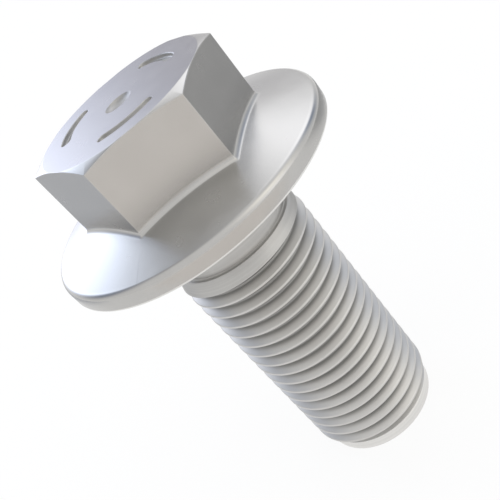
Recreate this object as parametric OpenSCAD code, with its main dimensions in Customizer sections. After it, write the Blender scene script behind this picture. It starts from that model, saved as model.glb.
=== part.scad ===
// Hexagon flange bolt, M14 x 1.5, 17 mm head, one solid piece.
// Millimetres. The origin is the centre of the bearing face under the flange, +Z points
// to the head, and two corners of the hexagon lie on the X axis.

/* [Head] */
// Across the flats of the hexagon
across_flats = 16.6; // [16.2:0.1:17]
// Bearing face to the top of the head
head_h = 10.25; // [9.5:0.05:11.5]
// Flat circle on top of the head, inside the corner chamfer
top_d = 16.7; // [15.4:0.1:16.9]
// Slope of the chamfer that cuts the six corners
chamfer_deg = 21; // [12:1:30]
// Hollow rounding between the hexagon and the flange
root_r = 0.55; // [0.3:0.05:0.9]

/* [Flange] */
// Diameter of the flange
flange_d = 28.5; // [27:0.1:30]
// Height of the rim, up to where its side would meet the slope
rim_h = 1.7; // [1.3:0.05:2.2]
// Slope of the flange's upper face
flange_deg = 16.5; // [12:0.5:20]
// Rounding of the rim's upper edge
rim_top_r = 0.6; // [0.3:0.05:0.9]
// Break of the rim's lower edge
rim_low_c = 0.12; // [0.05:0.01:0.3]

/* [Neck] */
// Where the fillet under the head meets the bearing face
seat_bore_d = 15.2; // [14.6:0.1:16]
// Radius of the fillet under the head
under_head_r = 0.9; // [0.5:0.05:1.2]
// Length of the tapered part under the head
taper_h = 4.82; // [3:0.01:5.2]
// Diameter of the relief above the thread
relief_d = 12.2; // [11.8:0.1:12.6]
// Bearing face to the lower end of the relief
relief_end = 5.83; // [5.3:0.01:6.4]
// Slope of the shoulder that leads out to the thread, from the axis
shoulder_deg = 45; // [30:1:60]

/* [Thread] */
// Major diameter of the thread
thread_d = 13.95; // [13.75:0.01:14]
// Pitch
pitch = 1.5; // [1.25:0.25:2]
// Angle between the two flanks
flank_deg = 60; // [55:1:60]
// Turn of the thread about the axis
thread_turn = 117; // [0:1:359]
// Angle from the top of the helix down to where the cut begins
fade_start = 230; // [180:10:360]
// Angle over which the cut comes to its full depth
fade_deg = 230; // [120:10:330]

/* [Tip] */
// Bearing face to the end of the bolt
shank_l = 33.4; // [25:0.1:60]
// Diameter of the plain pilot at the end
pilot_d = 12.66; // [12.2:0.01:13]
// Length of the pilot
pilot_l = 1.2; // [0.8:0.1:3]
// Slope of the chamfer above the pilot, from the axis
end_deg = 31; // [20:1:50]
// Break of the pilot's lower edge
pilot_c = 0.15; // [0.05:0.01:0.4]

/* [Hidden] */
steel = [0.72, 0.71, 0.69];

// Fineness: whole circles, points on an arc, steps in a turn of the thread, chords of the
// rounding round the hexagon, and its steps along a flat
fine = 96;
arc_n = 6;
turn_n = 45;
root_arc_n = 4;
flat_n = 10;

// How far a solid reaches into the next, along the axis and across it
bind = 0.3;
sink = 0.1;
// How far a trimming outline passes the surface that it trims
pass = 0.05;

flat_r = across_flats / 2;
corner_r = flat_r / cos(30);
rim_r = flange_d / 2;
thread_r = thread_d / 2;
relief_r = relief_d / 2;
seat_bore_r = seat_bore_d / 2;
pilot_r = pilot_d / 2;

// The crest is an eighth of the pitch wide and the root a sixth
crest_w = pitch / 8;
root_w = pitch / 6;
flank_z = (pitch - crest_w - root_w) / 2;
thread_depth = flank_z / tan(flank_deg / 2);
core_r = thread_r - thread_depth - sink;

pilot_z = pilot_l - shank_l;
end_z = pilot_z + (thread_r - pilot_r) / tan(end_deg);
shoulder_z = -relief_end - (thread_r - relief_r) / tan(shoulder_deg);

// Height of the flange's upper face at a radius
function slope_z(r) = rim_h + (rim_r - r) * tan(flange_deg);

// Points on an arc, from one angle to another
function arc(cx, cz, r, from, to, n) =
    [for (i = [0:n]) let (a = from + (to - from) * i / n) [cx + r * cos(a), cz + r * sin(a)]];

// The rim's upper rounding touches the upright side and the slope
rim_top_t = rim_top_r * tan((90 - flange_deg) / 2);
rim_arc = arc(rim_r - rim_top_r, rim_h - rim_top_t, rim_top_r, 0, 90 - flange_deg, arc_n);

// The fillet under the head is hollow and ends upright
seat_arc = arc(seat_bore_r, -under_head_r, under_head_r, 180, 90, arc_n);

// Where the slope passes in under the hexagon
hidden_r = flat_r - bind;

// Half section of the pilot, the core of the thread, the neck and the flange
body_half = concat(
    [[0, -shank_l], [pilot_r - pilot_c, -shank_l], [pilot_r, pilot_c - shank_l]],
    [[pilot_r, pilot_z], [core_r, pilot_z], [core_r, -relief_end - bind]],
    [[relief_r, -relief_end - bind], [relief_r, -taper_h]],
    seat_arc,
    [[rim_r - rim_low_c, 0], [rim_r, rim_low_c]],
    rim_arc,
    [[hidden_r, slope_z(hidden_r)], [0, slope_z(hidden_r)]]
);

// Half section of the space that the thread may fill
thread_half = [
    [0, pilot_z - bind], [pilot_r - pass, pilot_z - bind], [pilot_r - pass, pilot_z],
    [pilot_r, pilot_z], [thread_r + pass, end_z + pass / tan(end_deg)],
    [thread_r + pass, shoulder_z - pass / tan(shoulder_deg)],
    [relief_r, -relief_end], [0, -relief_end]
];

// The thread is a right hand one: it climbs with the angle about Z.
// A station is one step of the helix, counted from the top down.
step_deg = 360 / turn_n;
first_z = pitch - relief_end;
turns = ceil((shank_l - relief_end + 3 * pitch) / pitch);
stations = turns * turn_n;
function station_z(i) = first_z - pitch * i / turn_n;

// Depth of the groove that follows a station's crest, which a retreating tool leaves
// shallow and narrow at the top of the thread
least_cut = 0.001;
function cut(i) = max(least_cut, thread_depth * min(1, (i * step_deg - fade_start) / fade_deg));
function lift(i) = flank_z * (1 - cut(i) / thread_depth);

// The four points of a station: the crest's upper and lower edge, then the root's
function section(i) =
    let (z = station_z(i), root = thread_r - cut(i))
    [
        [thread_r, z + lift(i - turn_n)], [thread_r, z - crest_w - lift(i)],
        [root, z - crest_w - flank_z], [root, z - pitch + flank_z]
    ];

thread_points = concat(
    [for (i = [0:stations]) let (a = thread_turn - i * step_deg)
        for (q = section(i)) [q[0] * cos(a), q[0] * sin(a), q[1]]],
    [[0, 0, station_z(turn_n / 2)], [0, 0, station_z(stations + turn_n / 2)]]
);
top_centre = 4 * (stations + 1);
low_centre = top_centre + 1;

// Where a point of the section sits in the list; the fifth is the next turn's first
function at(i, k) = k < 4 ? 4 * i + k : 4 * (i + turn_n);
last = stations - turn_n;

thread_faces = concat(
    [for (i = [0:last - 1]) for (k = [0:3]) each [
        [at(i, k), at(i, k + 1), at(i + 1, k + 1)],
        [at(i, k), at(i + 1, k + 1), at(i + 1, k)]]],
    [for (i = [0:turn_n - 1]) [top_centre, at(i, 0), at(i + 1, 0)]],
    [for (k = [0:3]) [top_centre, at(0, k + 1), at(0, k)]],
    [for (i = [0:turn_n - 1]) [low_centre, at(last + i + 1, 0), at(last + i, 0)]],
    [for (k = [0:3]) [low_centre, at(last, k), at(last, k + 1)]]
);

// Section of the hollow rounding at an angle from the middle of a flat: distance from the
// axis square to the flat, and height. Its ends run a little into the flat and the slope.
overrun = 0.1;
function rounding(rel) =
    let (
        down = atan(tan(flange_deg) / cos(rel)),
        foot = slope_z(flat_r / cos(rel)),
        rise = root_r * tan((90 - down) / 2),
        n = root_arc_n,
        p = arc(flat_r + root_r, foot + rise, root_r, 180, 270 - down, n)
    )
    concat(
        [p[0] + (p[0] - p[1]) * overrun],
        [for (i = [1:n - 1]) p[i]],
        [p[n] + (p[n] - p[n - 1]) * overrun],
        [[flat_r - bind, foot - sink]]
    );
ring_n = root_arc_n + 2;
ring_stations = 6 * flat_n;
ring_points = [
    for (j = [0:ring_stations - 1])
        let (rel = (j % flat_n) / flat_n * 60 - 30, a = 60 * floor(j / flat_n) + 30 + rel)
            for (q = rounding(rel))
                let (r = q[0] / cos(rel)) [r * cos(a), r * sin(a), q[1]]
];
function on_ring(j, k) = (j % ring_stations) * ring_n + k % ring_n;
ring_faces = [
    for (j = [0:ring_stations - 1]) for (k = [0:ring_n - 1]) each [
        [on_ring(j, k), on_ring(j + 1, k), on_ring(j + 1, k + 1)],
        [on_ring(j, k), on_ring(j + 1, k + 1), on_ring(j, k + 1)]]
];

// The six flats, cut by the chamfer cone
module hexagon() {
    intersection() {
        translate([0, 0, rim_h]) cylinder(h = head_h - rim_h, r = corner_r, $fn = 6);
        rotate_extrude($fn = fine)
            polygon([
                [0, 0], [rim_r, 0], [rim_r, head_h - (rim_r - top_d / 2) * tan(chamfer_deg)],
                [top_d / 2, head_h], [0, head_h]
            ]);
    }
}

// The hollow rounding that runs round the foot of the six flats
module hexagon_foot() {
    polyhedron(points = ring_points, faces = ring_faces, convexity = 6);
}

// The helical thread, trimmed by the shoulder and by the end chamfer
module thread() {
    intersection() {
        rotate_extrude($fn = fine) polygon(thread_half);
        polyhedron(points = thread_points, faces = thread_faces, convexity = 10);
    }
}

// The whole bolt
module flange_bolt() {
    color(steel) union() {
        rotate_extrude($fn = fine) polygon(body_half);
        hexagon();
        hexagon_foot();
        thread();
    }
}

flange_bolt();
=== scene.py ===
from math import atan, atan2, ceil, cos, hypot, pi, radians, sin, sqrt, tan

import bmesh
import bpy
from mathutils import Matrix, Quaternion, Vector


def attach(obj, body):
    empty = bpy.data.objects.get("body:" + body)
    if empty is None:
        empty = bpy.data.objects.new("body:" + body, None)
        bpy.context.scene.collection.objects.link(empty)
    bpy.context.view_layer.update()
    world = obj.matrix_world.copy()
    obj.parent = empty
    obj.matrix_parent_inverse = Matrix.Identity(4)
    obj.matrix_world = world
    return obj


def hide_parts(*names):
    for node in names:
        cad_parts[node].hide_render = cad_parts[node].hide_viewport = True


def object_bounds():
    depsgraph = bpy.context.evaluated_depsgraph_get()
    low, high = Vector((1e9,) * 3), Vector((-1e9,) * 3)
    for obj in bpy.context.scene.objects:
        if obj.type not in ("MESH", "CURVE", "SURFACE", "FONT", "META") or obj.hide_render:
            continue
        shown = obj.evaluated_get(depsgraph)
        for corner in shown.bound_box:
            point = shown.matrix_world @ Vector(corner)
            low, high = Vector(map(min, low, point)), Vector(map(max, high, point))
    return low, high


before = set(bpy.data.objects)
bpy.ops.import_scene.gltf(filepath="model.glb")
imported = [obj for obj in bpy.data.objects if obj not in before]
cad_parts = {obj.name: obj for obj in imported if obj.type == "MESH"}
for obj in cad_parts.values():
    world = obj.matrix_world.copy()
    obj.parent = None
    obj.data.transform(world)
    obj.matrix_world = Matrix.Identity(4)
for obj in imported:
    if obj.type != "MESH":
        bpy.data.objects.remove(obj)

# The part's sizes, in metres. The origin is the centre of the bearing face, +Z to the head.
MM = 0.001
cad_low, cad_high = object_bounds()
HEAD_H = cad_high.z
SHANK_L = -cad_low.z
RIM_R = cad_high.y

FLAT_R = 8.3 * MM
CORNER_R = FLAT_R / cos(pi / 6)
TOP_R = 8.35 * MM
CHAMFER = radians(21)
ROOT_R = 0.55 * MM

RIM_H = 1.7 * MM
SLOPE = radians(16.5)
RIM_TOP_R = 0.6 * MM
RIM_LOW_R = 0.24 * MM

SEAT_BORE_R = 7.6 * MM
UNDER_HEAD_R = 0.9 * MM
TAPER_H = 4.82 * MM
RELIEF_R = 6.1 * MM
RELIEF_END = 5.83 * MM
# The band above the thread keeps the size that the thread is rolled from
STEP_Z = -5.62 * MM
STEP_R = 6.5 * MM
BAND_END = -7.2 * MM

THREAD_R = 6.975 * MM
PITCH = 1.5 * MM
THREAD_TURN = radians(117)
FADE_START = radians(230)
FADE_LENGTH = radians(230)
CREST_W = PITCH / 8
THREAD_ROOT_W = PITCH / 6
THREAD_DEPTH = (PITCH - CREST_W - THREAD_ROOT_W) / 2 / tan(pi / 6)

PILOT_R = 6.33 * MM
PILOT_TOP = 1.2 * MM - SHANK_L
END_SLOPE = radians(31)
PILOT_C = 0.15 * MM

# The edges' small roundings
EDGE = 0.045 * MM
CORNER_EDGE_R = 0.08 * MM
CORNER_TURN = atan(CORNER_EDGE_R / 2 / (CORNER_R - CORNER_EDGE_R * tan(pi / 6) / 2))
CREST_C = 0.02 * MM
CREST_ROUND = 0.085 * MM
CREST_LIP = 0.012 * MM
BAND_FOOT = 0.08 * MM

# The three slots and the dimple struck in the top of the head
MARK_R = 5.7 * MM
MARK_W = 0.95 * MM
MARK_SPAN = radians(46)
MARK_DEPTH = 0.38 * MM
MARK_LIP = 0.06 * MM
DIMPLE_R = 1.35 * MM
DIMPLE_DEPTH = 0.42 * MM

# A turned shape has this many columns in each sixth, crowded at the hexagon's corners
SECTOR_COLUMNS = 44
COLUMNS = 6 * SECTOR_COLUMNS
HELIX_STEPS = 132
SLOT_STEPS = 24
SLOT_END_STEPS = 14
DIMPLE_COLUMNS = 96

# How far a joined shape reaches into its neighbour, and a cutting one past the surface
OVERLAP = 0.3 * MM
GROOVE_OVER = 0.25 * MM
MARK_OVER = 0.2 * MM

# Vertices closer than this are one
WELD = MM * 1e-4
# Edges bent by more than this are shaded sharp
SHARP_ANGLE = radians(32)

# The finishes, by their places in the list of the piece's materials
SATIN, TURNED, DRAWN, ROLLED, STRUCK = range(5)


def bezier(start, corner, end, count):
    """Points from start to end that round off a corner."""
    points = []
    for i in range(count + 1):
        t = i / count
        points.append(tuple(
            (1 - t) ** 2 * a + 2 * t * (1 - t) * b + t * t * c
            for a, b, c in zip(start, corner, end)))
    return points


def arc(centre, radius, start, end, count):
    """Points on an arc, from one angle to another."""
    return [
        (centre[0] + radius * cos(start + (end - start) * i / count),
         centre[1] + radius * sin(start + (end - start) * i / count))
        for i in range(count + 1)]


def slope_z(r):
    """Height of the flange's upper face at a radius."""
    return RIM_H + (RIM_R - r) * tan(SLOPE)


def wall_r(rel):
    """Distance from the axis to the hexagon's side, rel being the angle from a flat's middle."""
    off = pi / 6 - abs(rel)
    if off > CORNER_TURN:
        return FLAT_R / cos(rel)
    centre = CORNER_R - CORNER_EDGE_R / cos(pi / 6)
    return centre * cos(off) + sqrt(CORNER_EDGE_R ** 2 - (centre * sin(off)) ** 2)


def sector_angles():
    """The columns of one sixth, as angles from the middle of its flat."""
    edge = pi / 6 - CORNER_TURN
    inner = SECTOR_COLUMNS - 4
    flat = [-edge + 2 * edge * i / inner for i in range(inner + 1)]
    return [-pi / 6, -pi / 6 + CORNER_TURN / 2] + flat + [pi / 6 - CORNER_TURN / 2]


def shank_section():
    """Half section from the axis in the tip up to the bearing face's outer edge."""
    end_r = PILOT_R - 0.02 * MM
    end_z = PILOT_TOP + (THREAD_R - end_r) / tan(END_SLOPE)
    seat_arc = arc((SEAT_BORE_R, -UNDER_HEAD_R), UNDER_HEAD_R, pi, pi / 2, 8)
    return [
        (0, PILOT_TOP - OVERLAP), (end_r, PILOT_TOP - OVERLAP), (end_r, PILOT_TOP),
        (THREAD_R, end_z), (THREAD_R, BAND_END), (STEP_R, STEP_Z - BAND_FOOT / 2),
        (STEP_R - BAND_FOOT / 2, STEP_Z), (RELIEF_R + BAND_FOOT, STEP_Z + BAND_FOOT / 4),
        (RELIEF_R, STEP_Z + BAND_FOOT), (RELIEF_R, -TAPER_H)] + seat_arc


def rim_section():
    """Half section of the rim, from its lower edge to the start of the slope."""
    run = RIM_TOP_R * tan((pi / 2 - SLOPE) / 2)
    low = arc((RIM_R - RIM_LOW_R, RIM_LOW_R), RIM_LOW_R, -pi / 2, 0, 6)
    top = arc((RIM_R - RIM_TOP_R, RIM_H - run), RIM_TOP_R, 0, pi / 2 - SLOPE, 8)
    return [(RIM_R - 2 * RIM_LOW_R, 0)] + low + top


def head_section(rel):
    """Half section of the hexagon and its foot, at an angle from the middle of a flat."""
    wall = wall_r(rel)
    # The hollow rounding, in the plane square to the flat
    down = atan(tan(SLOPE) / cos(rel))
    foot = slope_z(FLAT_R / cos(rel))
    rise = ROOT_R * tan((pi / 2 - down) / 2)
    hollow = arc((FLAT_R + ROOT_R, foot + rise), ROOT_R, 1.5 * pi - down, pi, 8)
    stretch = wall / FLAT_R
    rounding = [(r * stretch, z) for r, z in hollow]
    support = rounding[0][0] + 0.15 * MM
    # The upright side, then the chamfer, which fades out at the middle of a flat
    edge_z = HEAD_H - max(0, wall - TOP_R) * tan(CHAMFER)
    inner_r = wall - EDGE
    inner_z = min(HEAD_H, edge_z + EDGE * tan(CHAMFER))
    side = [(wall, foot + rise + 0.12 * MM), (wall, edge_z - 3 * EDGE)]
    shoulder = bezier((wall, edge_z - EDGE), (wall, edge_z), (inner_r, inner_z), 3)
    chamfer_end = min(TOP_R, inner_r - 0.02 * MM)
    blend_r = chamfer_end + min(EDGE, (inner_r - chamfer_end) / 2)
    blend_z = HEAD_H - max(0, blend_r - TOP_R) * tan(CHAMFER)
    crown = bezier((blend_r, blend_z), (chamfer_end, HEAD_H), (chamfer_end - EDGE, HEAD_H), 2)
    top = [(chamfer_end - 3 * EDGE, HEAD_H), (0.9 * TOP_R, HEAD_H), (0, HEAD_H)]
    return [(support, slope_z(support))] + rounding + side + shoulder + crown + top


def section(rel):
    """The whole half section at an angle from the middle of a flat."""
    return shank_section() + rim_section() + head_section(rel)


def spin_round(outline, columns):
    """A turned shape: the half section spun about Z, each vertex keeping its place in it."""
    bm = bmesh.new()
    ring = bm.verts.layers.int.new("ring")
    verts = [bm.verts.new((r, 0, z)) for r, z in outline]
    for i, v in enumerate(verts):
        v[ring] = i
    edges = [bm.edges.new(pair) for pair in zip(verts, verts[1:])]
    bmesh.ops.spin(
        bm, geom=verts + edges, cent=(0, 0, 0), axis=(0, 0, 1), angle=2 * pi,
        steps=columns, use_merge=True)
    bmesh.ops.remove_doubles(bm, verts=bm.verts, dist=WELD / 10)
    bmesh.ops.recalc_face_normals(bm, faces=bm.faces)
    return bm, ring


def to_object(bm, name, finish=SATIN):
    """A new object in the scene that holds the mesh, all of one finish."""
    for face in bm.faces:
        face.material_index = finish
    mesh = bpy.data.meshes.new(name)
    bm.to_mesh(mesh)
    bm.free()
    piece = bpy.data.objects.new(name, mesh)
    bpy.context.scene.collection.objects.link(piece)
    return piece


def make_blank():
    """The forged blank: turned all over, then its head pressed to the hexagon."""
    bm, ring = spin_round(section(0), COLUMNS)
    angles = sector_angles()
    sections = [section(rel) for rel in angles]
    for v in bm.verts:
        if hypot(v.co.x, v.co.y) < 10 * WELD:
            continue
        column = round(atan2(v.co.y, v.co.x) / (2 * pi) * COLUMNS) % COLUMNS
        sixth, k = divmod(column, SECTOR_COLUMNS)
        r, z = sections[k][v[ring]]
        a = (sixth + 0.5) * pi / 3 + angles[k]
        v.co = (r * cos(a), r * sin(a), z)
    bmesh.ops.recalc_face_normals(bm, faces=bm.faces)
    bolt = to_object(bm, "flange_bolt_fine")
    for face in bolt.data.polygons:
        if face.center.z < RIM_LOW_R:
            out = hypot(face.center.x, face.center.y)
            if out > SEAT_BORE_R:
                face.material_index = TURNED
            elif face.center.z < BAND_END:
                face.material_index = ROLLED if out > THREAD_R - 0.01 * MM else TURNED
            else:
                face.material_index = DRAWN
    return bolt


def groove_outline():
    """Outline of the thread's groove about its middle: radius and height."""
    top = (PITCH - CREST_W) / 2
    half = pi / 6
    root = THREAD_R - THREAD_DEPTH
    radius = THREAD_ROOT_W / 2 / tan(half)
    hollow = arc((root + radius, 0), radius, pi - pi / 3, pi + pi / 3, 8)
    upper = [
        (THREAD_R + GROOVE_OVER, top + CREST_C + GROOVE_OVER / 2),
        (THREAD_R - CREST_C, top - CREST_C * tan(half))]
    # The side towards the head is rubbed round where it meets the crest
    lower = bezier(
        (THREAD_R - CREST_ROUND * cos(half), CREST_ROUND * sin(half) - top), (THREAD_R, -top),
        (THREAD_R + CREST_LIP, -top - CREST_ROUND), 4)
    return upper + hollow + lower + [(THREAD_R + GROOVE_OVER, -top - CREST_ROUND - GROOVE_OVER)]


def make_groove():
    """What the thread rolls cut away: a groove wound down the shank, shallow at its top."""
    bm = bmesh.new()
    ring = bm.verts.layers.int.new("ring")
    outline = groove_outline()
    first = FADE_START - radians(25)
    # The groove's middle lies half a crest and half a pitch under the crest's upper edge
    start_z = PITCH - RELIEF_END - CREST_W / 2 - PITCH / 2 - PITCH * first / (2 * pi)
    angle = THREAD_TURN - first
    turns = ceil((start_z - PILOT_TOP + PITCH) / PITCH)
    verts = [bm.verts.new((r * cos(angle), r * sin(angle), start_z + z)) for r, z in outline]
    for i, v in enumerate(verts):
        v[ring] = i
    edges = [bm.edges.new(pair) for pair in zip(verts, verts[1:] + verts[:1])]
    bmesh.ops.spin(
        bm, geom=verts + edges, cent=(0, 0, 0), axis=(0, 0, 1),
        dvec=(0, 0, -PITCH / HELIX_STEPS), angle=-2 * pi, steps=HELIX_STEPS)
    one_turn = bm.verts[:] + bm.edges[:] + bm.faces[:]
    for turn in range(1, turns):
        made = bmesh.ops.duplicate(bm, geom=one_turn)["geom"]
        moved = [g for g in made if isinstance(g, bmesh.types.BMVert)]
        bmesh.ops.translate(bm, verts=moved, vec=(0, 0, -PITCH * turn))
    bmesh.ops.remove_doubles(bm, verts=bm.verts, dist=WELD)
    bmesh.ops.holes_fill(bm, edges=[e for e in bm.edges if e.is_boundary])
    for v in bm.verts:
        depth_angle = first + (start_z + outline[v[ring]][1] - v.co.z) / PITCH * 2 * pi
        share = min(1, (depth_angle - FADE_START) / FADE_LENGTH)
        r = hypot(v.co.x, v.co.y)
        lifted = 1 + THREAD_DEPTH * (1 - share) / r
        v.co.x *= lifted
        v.co.y *= lifted
    bmesh.ops.recalc_face_normals(bm, faces=bm.faces)
    return to_object(bm, "groove", ROLLED)


def make_pilot():
    """The plain end below the thread."""
    edge = 0.03 * MM
    low = bezier((PILOT_R - PILOT_C, -SHANK_L), (PILOT_R, -SHANK_L), (PILOT_R, PILOT_C - SHANK_L), 3)
    outline = [(0, -SHANK_L), (PILOT_R - 3 * PILOT_C, -SHANK_L)] + low + [
        (PILOT_R, PILOT_TOP - edge), (PILOT_R - edge, PILOT_TOP), (0, PILOT_TOP)]
    return to_object(spin_round(outline, COLUMNS)[0], "pilot", TURNED)


def slot_half():
    """Half the section of a struck slot: distance from its middle line, and height."""
    half = MARK_W / 2
    deep = HEAD_H - MARK_DEPTH
    over = HEAD_H + MARK_OVER
    lip_r = half + 0.11 * MM
    foot = bezier((half - 0.14 * MM, deep), (half - 0.03 * MM, deep), (half, deep + 0.1 * MM), 3)
    lip = [(half + MARK_LIP / 2, HEAD_H - MARK_LIP), (lip_r, HEAD_H + MARK_LIP / 3)]
    return [(0, deep)] + foot + lip + [(lip_r, over), (0, over)]


def make_slot(middle):
    """A slot bent round the axis: its section is swept along it and turned about its two ends."""
    bm = bmesh.new()
    half = slot_half()
    start = middle - MARK_SPAN / 2
    across = half + [(-s, z) for s, z in reversed(half[1:-1])]
    verts = [
        bm.verts.new(((MARK_R + s) * cos(start), (MARK_R + s) * sin(start), z)) for s, z in across]
    edges = [bm.edges.new(pair) for pair in zip(verts, verts[1:] + verts[:1])]
    bmesh.ops.spin(
        bm, geom=verts + edges, cent=(0, 0, 0), axis=(0, 0, 1), angle=MARK_SPAN, steps=SLOT_STEPS)
    for a, turn in ((start, -pi), (start + MARK_SPAN, pi)):
        verts = [bm.verts.new(((MARK_R + s) * cos(a), (MARK_R + s) * sin(a), z)) for s, z in half]
        edges = [bm.edges.new(pair) for pair in zip(verts, verts[1:])]
        bmesh.ops.spin(
            bm, geom=verts + edges, cent=(MARK_R * cos(a), MARK_R * sin(a), 0), axis=(0, 0, 1),
            angle=turn, steps=SLOT_END_STEPS)
    bmesh.ops.remove_doubles(bm, verts=bm.verts, dist=WELD)
    bmesh.ops.recalc_face_normals(bm, faces=bm.faces)
    return to_object(bm, "slot", STRUCK)


def make_dimple():
    """The shallow round dimple in the middle of the head."""
    deep = HEAD_H - DIMPLE_DEPTH
    over = HEAD_H + MARK_OVER
    lip_r = DIMPLE_R + 0.03 * MM
    bowl = bezier((0, deep), (DIMPLE_R * 0.75, deep), (DIMPLE_R - 0.05 * MM, HEAD_H - MARK_LIP), 9)
    outline = bowl + [(lip_r, HEAD_H + MARK_LIP / 3), (lip_r, over), (0, over)]
    return to_object(spin_round(outline, DIMPLE_COLUMNS)[0], "dimple", STRUCK)


def combine(piece, tool, operation):
    """Cuts a tool out of the piece, or joins the tool to it, and removes the tool."""
    step = piece.modifiers.new("combine", "BOOLEAN")
    step.object = tool
    step.operation = operation
    step.solver = "EXACT"
    shaped = piece.evaluated_get(bpy.context.evaluated_depsgraph_get())
    mesh = bpy.data.meshes.new_from_object(shaped)
    piece.modifiers.clear()
    old = piece.data
    piece.data = mesh
    bpy.data.meshes.remove(old)
    bpy.data.objects.remove(tool)


def finish_shading(piece):
    """Smooth shading that keeps the flat faces flat and the sharp edges sharp."""
    piece.data.shade_smooth()
    piece.data.set_sharp_from_angle(angle=SHARP_ANGLE)
    # The top's own edge stays sharp all round and at the marks, so that the top stays level
    bm = bmesh.new()
    bm.from_mesh(piece.data)
    for edge in bm.edges:
        level = [face.normal.z > 0.9999 and face.calc_center_median().z > HEAD_H - 0.01 * MM
                 for face in edge.link_faces]
        if any(level) and not all(level):
            edge.smooth = False
    bm.to_mesh(piece.data)
    bm.free()
    weighted = piece.modifiers.new("weighted", "WEIGHTED_NORMAL")
    weighted.keep_sharp = True
    shaped = piece.evaluated_get(bpy.context.evaluated_depsgraph_get())
    mesh = bpy.data.meshes.new_from_object(shaped)
    piece.modifiers.clear()
    piece.data = mesh


bolt = make_blank()
combine(bolt, make_groove(), "DIFFERENCE")
combine(bolt, make_pilot(), "UNION")
for turn in range(3):
    combine(bolt, make_slot(radians(30 + 120 * turn)), "DIFFERENCE")
combine(bolt, make_dimple(), "DIFFERENCE")
finish_shading(bolt)


# Noise is laid out in millimetres
PER_MM = 1 / MM


def add(tree, kind, wires=None, **settings):
    """A node with its settings, and its sockets set to a value or wired to another node's."""
    node = tree.nodes.new(kind)
    for name, value in settings.items():
        setattr(node, name, value)
    for key, value in (wires or {}).items():
        if isinstance(value, bpy.types.NodeSocket):
            tree.links.new(value, node.inputs[key])
        else:
            node.inputs[key].default_value = value
    return node


def reckon(tree, operation, a, b=0.0):
    """The result of one sum on two numbers."""
    return add(tree, "ShaderNodeMath", {0: a, 1: b}, operation=operation).outputs[0]


def object_place(tree):
    """The place of a surface point, in metres from the bearing face's centre."""
    return add(tree, "ShaderNodeTexCoord").outputs["Object"]


def split(tree, vector):
    """The three parts of a vector, by name."""
    return add(tree, "ShaderNodeSeparateXYZ", {0: vector}).outputs


def axis_distance(tree, place):
    """Distance of a place from the bolt's axis."""
    flat = add(tree, "ShaderNodeVectorMath", {0: place, 1: (1, 1, 0)}, operation="MULTIPLY").outputs[0]
    return add(tree, "ShaderNodeVectorMath", {0: flat}, operation="LENGTH").outputs["Value"]


def rise(tree, value, low, high):
    """0 below low and 1 above high, smooth in between; falls where low is above high."""
    node = add(tree, "ShaderNodeMapRange", {
        "Value": value, "From Min": low, "From Max": high}, interpolation_type="SMOOTHSTEP")
    return node.outputs["Result"]


def blend_colour(tree, share, first, second):
    """The first colour, going over to the second as the share goes from 0 to 1."""
    node = add(tree, "ShaderNodeMix", {0: share}, data_type="RGBA")
    for socket, colour in ((node.inputs[6], first), (node.inputs[7], second)):
        if isinstance(colour, bpy.types.NodeSocket):
            tree.links.new(colour, socket)
        else:
            socket.default_value = (*colour, 1)
    return node.outputs[2]


def new_group(name, inputs, outputs):
    """An empty node group with number sockets: its tree, its input node and its output node."""
    tree = bpy.data.node_groups.new(name, "ShaderNodeTree")
    for label, value in inputs:
        socket = tree.interface.new_socket(label, in_out="INPUT", socket_type="NodeSocketFloat")
        socket.default_value = value
    for label in outputs:
        tree.interface.new_socket(label, in_out="OUTPUT", socket_type="NodeSocketFloat")
    return tree, tree.nodes.new("NodeGroupInput"), tree.nodes.new("NodeGroupOutput")


def make_satin_grain():
    """The fine grain of a tumbled and plated surface, and slow clouds in its tone."""
    tree, given, result = new_group(
        "satin_grain", [("Grain", 7.0), ("Clouds", 0.35)], ["Height", "Cloud"])
    mm_place = add(tree, "ShaderNodeVectorMath", {
        0: object_place(tree), "Scale": PER_MM}, operation="SCALE").outputs[0]
    fine = add(tree, "ShaderNodeTexNoise", {
        "Vector": mm_place, "Scale": given.outputs["Grain"], "Detail": 2.0, "Roughness": 0.6})
    wide = reckon(tree, "MULTIPLY", given.outputs["Grain"], 0.22)
    dents = add(tree, "ShaderNodeTexNoise", {"Vector": mm_place, "Scale": wide, "Detail": 1.0})
    clouds = add(tree, "ShaderNodeTexNoise", {
        "Vector": mm_place, "Scale": given.outputs["Clouds"], "Detail": 4.0, "Roughness": 0.55})
    dented = reckon(tree, "MULTIPLY", dents.outputs["Fac"], 2.0)
    tree.links.new(reckon(tree, "ADD", fine.outputs["Fac"], dented), result.inputs["Height"])
    tree.links.new(rise(tree, clouds.outputs["Fac"], 0.3, 0.7), result.inputs["Cloud"])
    return tree


def make_turned_lines():
    """Fine rings that a turning tool leaves round the axis, on faces and on cylinders alike."""
    tree, given, result = new_group("turned_lines", [("Lines", 5.0)], ["Height", "Line"])
    place = object_place(tree)
    across = add(tree, "ShaderNodeCombineXYZ", {
        "X": reckon(tree, "MULTIPLY", axis_distance(tree, place), PER_MM),
        "Y": reckon(tree, "MULTIPLY", split(tree, place)["Z"], PER_MM)}).outputs[0]
    # A slow drift round the axis keeps the rings from being perfect circles
    rate = 12
    drift = add(
        tree, "ShaderNodeVectorMath", {0: place, 1: (rate, rate, 0)}, operation="MULTIPLY").outputs[0]
    path = add(tree, "ShaderNodeVectorMath", {0: across, 1: drift}, operation="ADD").outputs[0]
    lines = add(tree, "ShaderNodeTexNoise", {
        "Vector": path, "Scale": given.outputs["Lines"], "Detail": 2.0, "Roughness": 0.65})
    tree.links.new(lines.outputs["Fac"], result.inputs["Height"])
    tree.links.new(rise(tree, lines.outputs["Fac"], 0.35, 0.65), result.inputs["Line"])
    return tree


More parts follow.
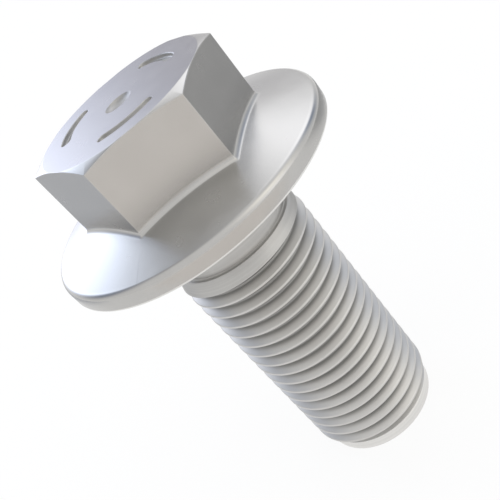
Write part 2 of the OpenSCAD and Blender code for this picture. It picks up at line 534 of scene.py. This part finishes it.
def make_edge_wear_and_highlight():
    """Where outer edges are worn and painted bright as a highlight: the bevelled normal leaves the true
    one there.
    """
    tree, given, result = new_group("edge_wear_and_highlight", [("Width", 0.12 * MM)], ["Edge"])
    soft = add(tree, "ShaderNodeBevel", {"Radius": given.outputs["Width"]}, samples=6).outputs[0]
    true = add(tree, "ShaderNodeNewGeometry").outputs["Normal"]
    same = add(
        tree, "ShaderNodeVectorMath", {0: soft, 1: true}, operation="DOT_PRODUCT").outputs["Value"]
    tree.links.new(rise(tree, same, 0.985, 0.90), result.inputs["Edge"])
    return tree


SATIN_GRAIN = make_satin_grain()
TURNED_LINES = make_turned_lines()
EDGE_WEAR_AND_HIGHLIGHT = make_edge_wear_and_highlight()


# How light the finishes are: their dark and light places, and their edges, worn and painted bright as a
# highlight
SATIN_DARK, SATIN_LIGHT, SATIN_EDGE_HIGHLIGHT = 0.495, 0.52, 0.66
# The turned faces: partly a bright finish, partly a painted highlight on the pilot and the rim's lower
# edge
TURNED_SHEEN_DARK, TURNED_SHEEN_LIGHT, TURNED_EDGE_HIGHLIGHT = 0.72, 0.77, 0.9
DRAWN_DARK, DRAWN_LIGHT, DRAWN_EDGE_HIGHLIGHT = 0.49, 0.53, 0.7
ROLLED_DARK, ROLLED_LIGHT = 0.55, 0.58
# The struck marks are painted darker as shade in their recesses
STRUCK_SHADE_DARK, STRUCK_SHADE_LIGHT, STRUCK_EDGE_HIGHLIGHT = 0.4, 0.45, 0.6
# Painted shade at the hexagon's foot, where it meets the flange
HEX_FOOT_SHADE_TONE = 0.44
# Painted shade in the thread's root
THREAD_ROOT_SHADE_TONE = 0.34
# Painted highlight on the thread's upward flank
THREAD_FLANK_HIGHLIGHT_TONE = 0.64
# The thread's crest, worn and painted bright as a highlight
THREAD_CREST_HIGHLIGHT_TONE = 0.61

# How wide the edges are worn and painted bright as a highlight
RUBBED_HIGHLIGHT_W = 0.05 * MM


def new_steel(name):
    """A metal material: its tree and its shader."""
    material = bpy.data.materials.new(name)
    material.use_nodes = True
    shader = material.node_tree.nodes["Principled BSDF"]
    shader.inputs["Metallic"].default_value = 1
    bolt.data.materials.append(material)
    return material.node_tree, shader


def place_group(tree, group, **values):
    """The group as a node of the material, with its own values."""
    node = add(tree, "ShaderNodeGroup", node_tree=group)
    for name, value in values.items():
        node.inputs[name].default_value = value
    return node.outputs


def raise_grain(tree, shader, height, distance):
    """Lets the height stand out from the surface, by a distance in metres."""
    bump = add(tree, "ShaderNodeBump", {"Height": height, "Distance": distance, "Strength": 1.0})
    tree.links.new(bump.outputs["Normal"], shader.inputs["Normal"])


def base_and(tree, base, mask, share):
    """A number that starts at a base and changes by a share where the mask is 1."""
    return reckon(tree, "ADD", base, reckon(tree, "MULTIPLY", mask, share))


def steel_colour(level):
    """The plated steel's own warm grey at a level of lightness."""
    return (level, level * 0.985, level * 0.955)


def steel_between(tree, mask, dark, light):
    """The plated steel's grey, going from a dark level to a light one with the mask."""
    return blend_colour(tree, mask, steel_colour(dark), steel_colour(light))


def make_satin():
    """The forged head and flange: tumbled satin, clouds in the tone, edges worn and painted bright as a
    highlight.
    """
    tree, shader = new_steel("satin_steel")
    grain = place_group(tree, SATIN_GRAIN, Grain=7.0, Clouds=0.35)
    edge = place_group(tree, EDGE_WEAR_AND_HIGHLIGHT, Width=RUBBED_HIGHLIGHT_W)["Edge"]
    body = steel_between(tree, grain["Cloud"], SATIN_DARK, SATIN_LIGHT)
    # Painted shade: the hexagon's foot, in the crease against the flange, is painted darker
    place = object_place(tree)
    height = split(tree, place)["Z"]
    foot = reckon(
        tree, "MULTIPLY", rise(tree, height, 3.5 * MM, 3.9 * MM), rise(tree, height, 6.6 * MM, 4 * MM))
    body = blend_colour(tree, foot, body, steel_colour(HEX_FOOT_SHADE_TONE))
    tree.links.new(blend_colour(tree, edge, body, steel_colour(SATIN_EDGE_HIGHLIGHT)), shader.inputs["Base Color"])
    # The rim's upper rounding is pressed smoother than the rest
    out = axis_distance(tree, place)
    rim = reckon(
        tree, "MULTIPLY", rise(tree, out, RIM_R - 0.62 * MM, RIM_R - 0.5 * MM),
        rise(tree, out, RIM_R - 0.02 * MM, RIM_R - 0.05 * MM))
    pressed = reckon(tree, "MAXIMUM", reckon(tree, "MULTIPLY", edge, 0.5), rim)
    satin = base_and(tree, 0.245, grain["Cloud"], 0.03)
    tree.links.new(base_and(tree, satin, pressed, -0.07), shader.inputs["Roughness"])
    raise_grain(tree, shader, grain["Height"], 0.0005 * MM)


def make_turned():
    """The faces turned after plating, bright, and painted brighter still as a highlight: bearing face,
    end chamfer and pilot.
    """
    tree, shader = new_steel("turned_sheen_steel")
    lines = place_group(tree, TURNED_LINES, Lines=5.0)
    grain = place_group(tree, SATIN_GRAIN, Grain=9.0, Clouds=0.5)
    edge = place_group(tree, EDGE_WEAR_AND_HIGHLIGHT, Width=RUBBED_HIGHLIGHT_W)["Edge"]
    body = steel_between(tree, lines["Line"], TURNED_SHEEN_DARK, TURNED_SHEEN_LIGHT)
    tree.links.new(blend_colour(tree, edge, body, steel_colour(TURNED_EDGE_HIGHLIGHT)), shader.inputs["Base Color"])
    tree.links.new(base_and(tree, 0.3, grain["Cloud"], 0.05), shader.inputs["Roughness"])
    raise_grain(tree, shader, lines["Height"], 0.003 * MM)


def make_drawn():
    """The neck and the band above the thread: plated over fine rings, and duller than the head."""
    tree, shader = new_steel("drawn_steel")
    lines = place_group(tree, TURNED_LINES, Lines=4.0)
    edge = place_group(tree, EDGE_WEAR_AND_HIGHLIGHT, Width=RUBBED_HIGHLIGHT_W)["Edge"]
    grain = place_group(tree, SATIN_GRAIN, Grain=8.0, Clouds=0.5)
    body = steel_between(tree, lines["Line"], DRAWN_DARK, DRAWN_LIGHT)
    tree.links.new(blend_colour(tree, edge, body, steel_colour(DRAWN_EDGE_HIGHLIGHT)), shader.inputs["Base Color"])
    tree.links.new(base_and(tree, 0.4, grain["Cloud"], 0.05), shader.inputs["Roughness"])
    raise_grain(tree, shader, lines["Height"], 0.002 * MM)


def make_rolled():
    """The rolled thread: crest worn and painted bright as a highlight, upper flank painted lighter where
    light falls on it, drag lines along the groove, root painted darker as shade.
    """
    tree, shader = new_steel("rolled_steel")
    place = object_place(tree)
    parts = split(tree, place)
    radius = axis_distance(tree, place)
    # Turns round the helix: the same all along a line that follows the groove
    turned = reckon(tree, "ARCTAN2", parts["Y"], parts["X"])
    climbed = reckon(tree, "MULTIPLY", parts["Z"], 2 * pi / PITCH)
    phase = reckon(tree, "SUBTRACT", climbed, turned)
    lane = add(tree, "ShaderNodeCombineXYZ", {
        "X": reckon(tree, "COSINE", phase),
        "Y": reckon(tree, "SINE", phase),
        "Z": reckon(tree, "MULTIPLY", parts["Z"], 60.0)}).outputs[0]
    drag = add(tree, "ShaderNodeTexNoise", {
        "Vector": lane, "Scale": 2.6, "Detail": 4.0, "Roughness": 0.7}).outputs["Fac"]
    grain = place_group(tree, SATIN_GRAIN, Grain=9.0, Clouds=0.5)
    # The crest is painted bright, partly as wear and partly as a highlight
    crest = rise(tree, radius, THREAD_R - 0.07 * MM, THREAD_R - 0.01 * MM)
    # The thread's root is painted darker as shade, and made rougher, fading out towards the tip
    root_shade_mask = reckon(
        tree, "MULTIPLY", rise(tree, radius, THREAD_R - 0.25 * MM, THREAD_R - THREAD_DEPTH),
        rise(tree, parts["Z"], PILOT_TOP + 0.3 * MM, PILOT_TOP + 2 * MM))
    body = steel_between(tree, grain["Cloud"], ROLLED_DARK, ROLLED_LIGHT)
    root_shaded_colour = blend_colour(tree, root_shade_mask, body, steel_colour(THREAD_ROOT_SHADE_TONE))
    # The flank that faces up, towards the head, is painted lighter near the crest as a highlight where
    # the light falls
    upward = split(tree, add(tree, "ShaderNodeNewGeometry").outputs["True Normal"])["Z"]
    painted_flank_light = reckon(
        tree, "MULTIPLY", rise(tree, upward, 0.2, 0.6),
        rise(tree, radius, THREAD_R - 0.75 * MM, THREAD_R - 0.2 * MM))
    flank_lit_colour = blend_colour(tree, painted_flank_light, root_shaded_colour, steel_colour(THREAD_FLANK_HIGHLIGHT_TONE))
    colour = blend_colour(tree, crest, flank_lit_colour, steel_colour(THREAD_CREST_HIGHLIGHT_TONE))
    tree.links.new(colour, shader.inputs["Base Color"])
    satin = base_and(tree, 0.37, root_shade_mask, 0.08)
    tree.links.new(base_and(tree, satin, drag, 0.06), shader.inputs["Roughness"])
    raise_grain(tree, shader, drag, 0.006 * MM)


def make_struck():
    """The floors of the struck marks: duller, and painted a little darker than the head as shade in the
    recesses.
    """
    tree, shader = new_steel("struck_shaded_steel")
    grain = place_group(tree, SATIN_GRAIN, Grain=5.0, Clouds=0.9)
    edge = place_group(tree, EDGE_WEAR_AND_HIGHLIGHT, Width=0.08 * MM)["Edge"]
    body = steel_between(tree, grain["Cloud"], STRUCK_SHADE_DARK, STRUCK_SHADE_LIGHT)
    tree.links.new(blend_colour(tree, edge, body, steel_colour(STRUCK_EDGE_HIGHLIGHT)), shader.inputs["Base Color"])
    tree.links.new(base_and(tree, 0.4, grain["Cloud"], 0.08), shader.inputs["Roughness"])
    raise_grain(tree, shader, grain["Height"], 0.003 * MM)


# In the order of the finishes' places in the list
make_satin()
make_turned()
make_drawn()
make_rolled()
make_struck()

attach(bolt, "root")
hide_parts("flange_bolt")


# The floor: half its side in metres, how much light it gives back, and how much it gives itself
FLOOR_HALF = 2
FLOOR_PAINT = 0.12
FLOOR_GLOW = 0.88


def make_floor():
    """The pale floor under the tip: white where nothing shades it."""
    bm = bmesh.new()
    bmesh.ops.create_grid(bm, x_segments=1, y_segments=1, size=FLOOR_HALF)
    bmesh.ops.translate(bm, verts=bm.verts, vec=(0, 0, -SHANK_L))
    floor = to_object(bm, "floor")
    pale = bpy.data.materials.new("pale_floor")
    pale.use_nodes = True
    tree = pale.node_tree
    tree.nodes.clear()
    paint = add(tree, "ShaderNodeBsdfDiffuse", {"Color": (FLOOR_PAINT, FLOOR_PAINT, FLOOR_PAINT, 1)})
    # Seen straight, in a mirror or through glass
    path = add(tree, "ShaderNodeLightPath").outputs
    seen = reckon(tree, "MAXIMUM", path["Is Camera Ray"], path["Is Glossy Ray"])
    seen = reckon(tree, "MAXIMUM", seen, path["Is Transmission Ray"])
    glow = add(tree, "ShaderNodeEmission", {"Strength": reckon(tree, "MULTIPLY", seen, FLOOR_GLOW)})
    both = add(tree, "ShaderNodeAddShader", {0: paint.outputs[0], 1: glow.outputs[0]})
    add(tree, "ShaderNodeOutputMaterial", {"Surface": both.outputs[0]})
    floor.data.materials.append(pale)


def make_card(name, azimuth, near, far, width, paint):
    """A painted card on the floor, out from the bolt at an azimuth, that only the metal sees."""
    bm = bmesh.new()
    bmesh.ops.create_grid(bm, x_segments=1, y_segments=1, size=0.5)
    bmesh.ops.scale(bm, verts=bm.verts, vec=(far - near, width, 1))
    bmesh.ops.translate(bm, verts=bm.verts, vec=((far + near) / 2, 0, MM - SHANK_L))
    turn = Quaternion((0, 0, 1), radians(azimuth)).to_matrix()
    bmesh.ops.rotate(bm, verts=bm.verts, cent=(0, 0, 0), matrix=turn)
    card = to_object(bm, name)
    felt = bpy.data.materials.new(name)
    felt.use_nodes = True
    shader = felt.node_tree.nodes["Principled BSDF"]
    shader.inputs["Base Color"].default_value = (*paint, 1)
    shader.inputs["Roughness"].default_value = 1
    shader.inputs["Specular IOR Level"].default_value = 0
    card.data.materials.append(felt)
    card.visible_camera = False
    card.visible_diffuse = False
    card.visible_shadow = False


make_floor()
make_card("card_back_right", 34, 0.075, 0.3, 0.15, (0.475, 0.475, 0.47))
make_card("card_back_left", 140, 0.085, 0.3, 0.14, (0.65, 0.66, 0.68))
make_card("card_front", 268, 0.05, 0.3, 0.16, (0.985, 0.93, 0.87))


def direction(azimuth, elevation):
    """The unit vector from the bolt towards an azimuth and an elevation."""
    flat = cos(elevation)
    return Vector((flat * cos(azimuth), flat * sin(azimuth), sin(elevation)))


def make_soft_box():
    """A soft round light in the room's wall: 1 in its middle, and fading out round it."""
    tree, given, result = new_group("soft_box", [("Tightness", 16.0)], ["Light"])
    tree.interface.new_socket("Towards", in_out="INPUT", socket_type="NodeSocketVector")
    looked = add(tree, "ShaderNodeTexCoord").outputs["Generated"]
    ray = add(tree, "ShaderNodeVectorMath", {0: looked}, operation="NORMALIZE").outputs[0]
    near = add(
        tree, "ShaderNodeVectorMath", {0: ray, 1: given.outputs["Towards"]}, operation="DOT_PRODUCT")
    off = reckon(tree, "SUBTRACT", near.outputs["Value"], 1.0)
    fade = reckon(tree, "EXPONENT", reckon(tree, "MULTIPLY", off, given.outputs["Tightness"]))
    tree.links.new(fade, result.inputs["Light"])
    return tree


# The room that the metal sees. A light is a name, an azimuth and an elevation in degrees, how
# tight it is, and its colour, which is below nothing for a dark flag.
ROOM_WHITE = 0.94
ROOM_LIGHTS = [
    ("back_left_window", 118, 30, 26, (1.3, 1.5, 1.9)),
    ("back_left_low_box", 112, 12, 40, (1.2, 1.3, 1.75)),
    ("back_top_box", 65, 41, 26, (1.0, 1.01, 1.07)),
    ("back_right_window", 40, 50, 16, (0.2, 0.22, 0.26)),
    ("front_right_box", 320, 45, 16, (0.66, 0.62, 0.53)),
    ("front_right_low_box", 320, 8, 16, (0.62, 0.61, 0.59)),
    ("back_flag", 91, 16, 24, (-0.54, -0.55, -0.5)),
    ("top_flag", 116, 61, 16, (-0.42, -0.42, -0.42)),
    ("right_flag", 30, 25, 16, (-0.38, -0.34, -0.27)),
    ("far_right_flag", 37, 36, 40, (-0.5, -0.48, -0.43)),
    ("left_flag", 150, 34, 16, (-0.66, -0.63, -0.55)),
]


def make_room():
    """The world: white to the camera, and to the metal a white room with its lights."""
    world = bpy.data.worlds.new("room")
    world.use_nodes = True
    tree = world.node_tree
    tree.nodes.clear()
    soft_box = make_soft_box()
    # The camera sees plain white, and none of the lights
    seen = add(tree, "ShaderNodeLightPath").outputs["Is Camera Ray"]
    hidden = reckon(tree, "SUBTRACT", 1.0, seen)
    total = reckon(tree, "ADD", reckon(tree, "MULTIPLY", seen, 1 - ROOM_WHITE), ROOM_WHITE)
    for name, azimuth, elevation, tightness, colour in ROOM_LIGHTS:
        box = add(tree, "ShaderNodeGroup", node_tree=soft_box, name=name)
        box.inputs["Towards"].default_value = direction(radians(azimuth), radians(elevation))
        box.inputs["Tightness"].default_value = tightness
        share = reckon(tree, "MULTIPLY", box.outputs["Light"], hidden)
        total = add(
            tree, "ShaderNodeVectorMath", {0: colour, 1: share, 2: total},
            operation="MULTIPLY_ADD").outputs[0]
    wall = add(tree, "ShaderNodeBackground", {"Color": total, "Strength": 1.0})
    add(tree, "ShaderNodeOutputWorld", {"Surface": wall.outputs[0]})
    bpy.context.scene.world = world


make_room()

# The camera's place is given from the bearing face's centre, in the photograph's own view
CAMERA_AZIMUTH = radians(-84.71)
CAMERA_ELEVATION = radians(22.45)
CAMERA_DISTANCE = 68.78 * MM
CAMERA_AIM = Vector((0.21, 0.02, -8.64)) * MM
CAMERA_ROLL = radians(41.08)
CAMERA_LENS = 54.68

camera = bpy.data.objects.new("camera", bpy.data.cameras.new("camera"))
bpy.context.scene.collection.objects.link(camera)
camera.location = CAMERA_DISTANCE * direction(CAMERA_AZIMUTH, CAMERA_ELEVATION)
look = (CAMERA_AIM - camera.location).normalized()
camera.rotation_mode = "QUATERNION"
camera.rotation_quaternion = look.to_track_quat("-Z", "Y") @ Quaternion((0, 0, 1), -CAMERA_ROLL)
camera.data.lens = CAMERA_LENS
camera.data.clip_start = MM
bpy.context.scene.camera = camera
bpy.context.scene.view_settings.view_transform = "Standard"
